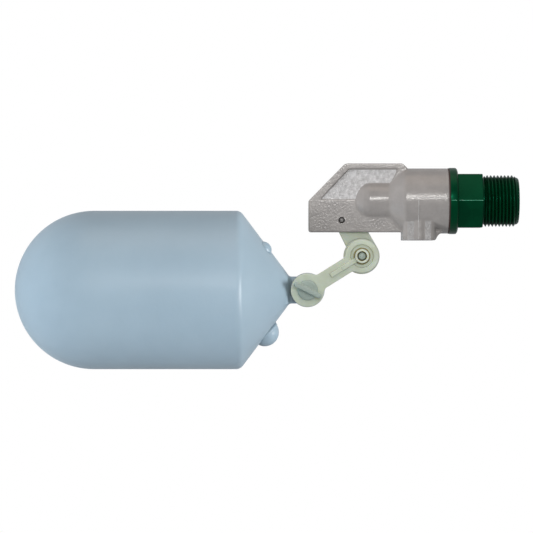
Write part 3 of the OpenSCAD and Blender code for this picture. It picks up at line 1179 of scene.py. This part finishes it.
def make_screw(name, body, node, shank_l, place, *turns):
    """A thumb screw: its head stands along -Y from y = 0, and its shank runs along +Y."""
    profile = [
        (-HEAD_T, 0),
        (-HEAD_T, HEAD_R - 0.7),
        (-HEAD_T + 0.5, HEAD_R - 0.1),
        (-0.3, HEAD_R),
        (0, HEAD_R - 0.3),
        (0, 0),
    ]
    head = turn(lathe("head", profile, 96), "Z", 90)
    tall = -HEAD_T - BAR_H
    layers = [
        (tall, BAR_L - 1.2, BAR_W - 1.0),
        (tall + 0.5, BAR_L - 0.5, BAR_W - 0.5),
        (tall + 1.2, BAR_L, BAR_W - 0.25),
        (-HEAD_T + 0.5, BAR_L - 0.1, BAR_W),
    ]
    rings = [[(x, y, z) for x, z in stadium(length, width)] for y, length, width in layers]
    add(head, loft("bar", rings))
    mould(head, HEAD_VOXEL, 2)
    add(head, make_shank(shank_l))
    for axis, degrees in turns:
        turn(head, axis, degrees)
    move(head, place)
    finish_piece(head, name, body, "screw_plastic", SCREW_PLASTIC, node)
    sharpen(head, 60)


def make_shank(length):
    """A coarse plastic thread along +Y from just inside the head, fading out at both ends."""
    angles = circle_angles(40)
    root = SHANK_R - SHANK_DEPTH
    rings = []
    for y in np.arange(-0.4, length - 0.5, SHANK_STEP):
        fade_in, fade_out = smooth_step(y - 0.6), smooth_step(length - 0.5 - y)
        ring = []
        for a in angles:
            phase = (y / SHANK_PITCH - a / (2 * math.pi)) % 1
            r = root + SHANK_DEPTH * ((1 - abs(2 * phase - 1)) * fade_in * fade_out)
            ring.append((r * math.sin(a), y, r * math.cos(a)))
        rings.append(ring)
    end_r = root - 0.4
    rings.append([(end_r * math.sin(a), length, end_r * math.cos(a)) for a in angles])
    return loft("shank", rings)


make_lever()
make_link()
make_screw(
    "lever_screw_moulding",
    "lever_screw",
    "lever_thumb_screw",
    LEVER_SHANK_L,
    (LEVER_EYE.x, LUG_HALF - HEAD_RECESS, LEVER_EYE.z),
    ("Y", 65),
    ("Z", 180),
)
make_screw(
    "float_screw_moulding",
    "float_screw",
    "float_thumb_screw",
    FLOAT_SHANK_L,
    (FLOAT_EYE.x, LINK_FRONT, FLOAT_EYE.z),
    ("Y", 26),
)

# ---------------------------------------------------------------- stage, light and camera


def aim(thing, place, target):
    """Puts a camera or a light at a place, looking at a target; both in metres."""
    thing.location = place
    thing.rotation_euler = (Vector(target) - Vector(place)).to_track_quat("-Z", "Y").to_euler()


def area_light(name, place, target, size, power, colour, size_y=None):
    """A round soft light, or a strip if size_y is given; sizes in metres and power in watts."""
    light = bpy.data.lights.new(name, "AREA")
    light.shape = "RECTANGLE" if size_y else "DISK"
    light.size = size
    if size_y:
        light.size_y = size_y
    light.energy = power
    light.color = colour
    thing = bpy.data.objects.new(name, light)
    bpy.context.scene.collection.objects.link(thing)
    aim(thing, place, target)
    return thing


FLOOR_R, FLOOR_Z, FLOOR_T = 900, -330, 4
LIGHT_BELOW, LIGHT_ABOVE = 0.40, 0.58  # how strong the room's light is from below and above


def make_floor():
    """A pale round floor that fades to plain white towards its rim and lights nothing."""
    material, tree, shader, make = node_material("pale_floor")
    shader.inputs["Base Color"].default_value = (0.86, 0.86, 0.86, 1)
    shader.inputs["Roughness"].default_value = 0.7
    place = make("ShaderNodeTexCoord")
    spread = make("ShaderNodeMapping")
    per_radius = 1 / (FLOOR_R * MM)
    spread.inputs["Scale"].default_value = (per_radius, per_radius, 0)
    fade = make("ShaderNodeTexGradient")
    fade.gradient_type = "SPHERICAL"
    mask = make("ShaderNodeMapRange")
    mask.interpolation_type = "SMOOTHSTEP"
    mask.inputs["From Min"].default_value = 0.02
    mask.inputs["From Max"].default_value = 0.62
    mask.inputs["To Min"].default_value = 1.0
    mask.inputs["To Max"].default_value = 0.0
    white = make("ShaderNodeEmission")
    blend = make("ShaderNodeMixShader")
    link = tree.links.new
    link(place.outputs["Object"], spread.inputs["Vector"])
    link(spread.outputs["Vector"], fade.inputs["Vector"])
    link(fade.outputs["Fac"], mask.inputs["Value"])
    link(mask.outputs["Result"], blend.inputs[0])
    link(shader.outputs["BSDF"], blend.inputs[1])
    link(white.outputs["Emission"], blend.inputs[2])
    link(blend.outputs["Shader"], tree.nodes["Material Output"].inputs["Surface"])
    rim = arc((0, 0), FLOOR_R, 0, 357.5, 144)
    levels = (FLOOR_Z, FLOOR_Z - FLOOR_T)
    floor = loft("floor", [[(x, y, level) for x, y in rim] for level in levels])
    floor.data.transform(Matrix.Scale(MM, 4))
    floor.data.materials.append(material)
    floor.visible_diffuse = False
    floor.visible_glossy = False
    return floor


def make_world():
    """White behind the object, and a softer, paler grey light round it."""
    world = bpy.data.worlds.new("studio")
    bpy.context.scene.world = world
    world.use_nodes = True
    tree = world.node_tree
    seen = tree.nodes["Background"]
    seen.inputs["Color"].default_value = (1, 1, 1, 1)
    light = tree.nodes.new("ShaderNodeBackground")
    light.inputs["Color"].default_value = (0.93, 0.96, 1.0, 1)
    place = tree.nodes.new("ShaderNodeTexCoord")
    split = tree.nodes.new("ShaderNodeSeparateXYZ")
    height = tree.nodes.new("ShaderNodeMapRange")
    height.inputs["From Min"].default_value = -1.0
    height.inputs["To Min"].default_value = LIGHT_BELOW
    height.inputs["To Max"].default_value = LIGHT_ABOVE
    tree.links.new(place.outputs["Generated"], split.inputs["Vector"])
    tree.links.new(split.outputs["Z"], height.inputs["Value"])
    tree.links.new(height.outputs["Result"], light.inputs["Strength"])
    path = tree.nodes.new("ShaderNodeLightPath")
    mix = tree.nodes.new("ShaderNodeMixShader")
    tree.links.new(path.outputs["Is Camera Ray"], mix.inputs[0])
    tree.links.new(light.outputs[0], mix.inputs[1])
    tree.links.new(seen.outputs[0], mix.inputs[2])
    tree.links.new(mix.outputs[0], tree.nodes["World Output"].inputs["Surface"])


LOW, HIGH = CAD_BOX
CENTRE = (Vector(LOW) + Vector(HIGH)) / 2
VIEW_W = (HIGH.x - LOW.x) * 1.06  # the part's width and a small margin
DISTANCE = 1.5
SENSOR_W = 36


def make_camera():
    """A camera square on to the front, as far off as makes the part fill the frame."""
    data = bpy.data.cameras.new("camera")
    data.sensor_width = SENSOR_W
    data.lens = data.sensor_width * DISTANCE / VIEW_W
    camera = bpy.data.objects.new("camera", data)
    bpy.context.scene.collection.objects.link(camera)
    aim(camera, CENTRE + Vector((0, -DISTANCE, 0)), CENTRE)
    bpy.context.scene.camera = camera


def only_on(thing, *names):
    """Keeps a light to the objects of these names."""
    receivers = bpy.data.collections.new(f"{thing.name}_receivers")
    for name in names:
        receivers.objects.link(bpy.data.objects[name])
    thing.light_linking.receiver_collection = receivers


def make_room_lights():
    """The lights that shine on every piece: soft in front, above, behind and from the left."""
    area_light(
        "front",
        (CENTRE.x + 0.10, -1.25, CENTRE.z + 0.30),
        CENTRE,
        size=0.20,
        power=2.45,
        colour=(1.0, 0.985, 0.96),
    )
    area_light(
        "top",
        (CENTRE.x + 0.1, -0.2, CENTRE.z + 1.0),
        CENTRE,
        size=0.8,
        power=1.7,
        colour=(1.0, 0.80, 0.64),
    )
    back = area_light(
        "back",
        (CENTRE.x - 0.3, 1.2, CENTRE.z - 0.1),
        CENTRE,
        size=0.8,
        power=6.0,
        colour=(1.0, 0.98, 0.95),
    )
    left = area_light(
        "left",
        (CENTRE.x - 1.10, -0.48, CENTRE.z - 0.20),
        CENTRE,
        size=0.25,
        power=11.0,
        colour=(0.93, 0.96, 1.0),
    )
    back.visible_glossy = False
    left.visible_glossy = False


def make_float_lights():
    """A fill for the float's cone and a strip for the glint on its shoulder."""
    cone_place = FLOAT_EYE * MM
    right = area_light(
        "right",
        cone_place + Vector((0.72, -0.36, -0.04)),
        cone_place,
        size=0.25,
        power=4.9,
        colour=(0.98, 0.99, 1.0),
    )
    shoulder = area_light(
        "shoulder",
        cone_place + Vector((0.34, -0.75, 0.02)),
        cone_place,
        size=0.03,
        power=0.3,
        colour=(0.95, 0.98, 1.0),
        size_y=0.4,
    )
    for light in (right, shoulder):
        only_on(light, "float_body", "float_fill_boss", "float_vent_boss")


def make_flash():
    """A small hard light for the highlights on the casing and the adapter."""
    casing_place = (CASING_LOW + CASING_HIGH) / 2 * MM
    flash = area_light(
        "flash",
        casing_place + Vector((0.02, -1.2, 0.31)),
        casing_place,
        size=0.05,
        power=2.4,
        colour=(1.0, 0.98, 0.94),
    )
    only_on(flash, "casing_moulding", "adapter_hexagon", "adapter_flange")


def make_floor_light(floor):
    """Lights the floor alone, evenly."""
    light = area_light(
        "floor_light",
        (CENTRE.x, 0, 0.9),
        (CENTRE.x, 0, 0),
        size=1.6,
        power=3.2,
        colour=(1, 1, 1),
    )
    only_on(light, floor.name)


FLOOR = make_floor()
make_world()
make_camera()
make_room_lights()
make_float_lights()
make_flash()
make_floor_light(FLOOR)
bpy.context.scene.view_settings.view_transform = "Standard"


def corners(box):
    """A box's two corners as plain lists."""
    return [list(corner) for corner in box]
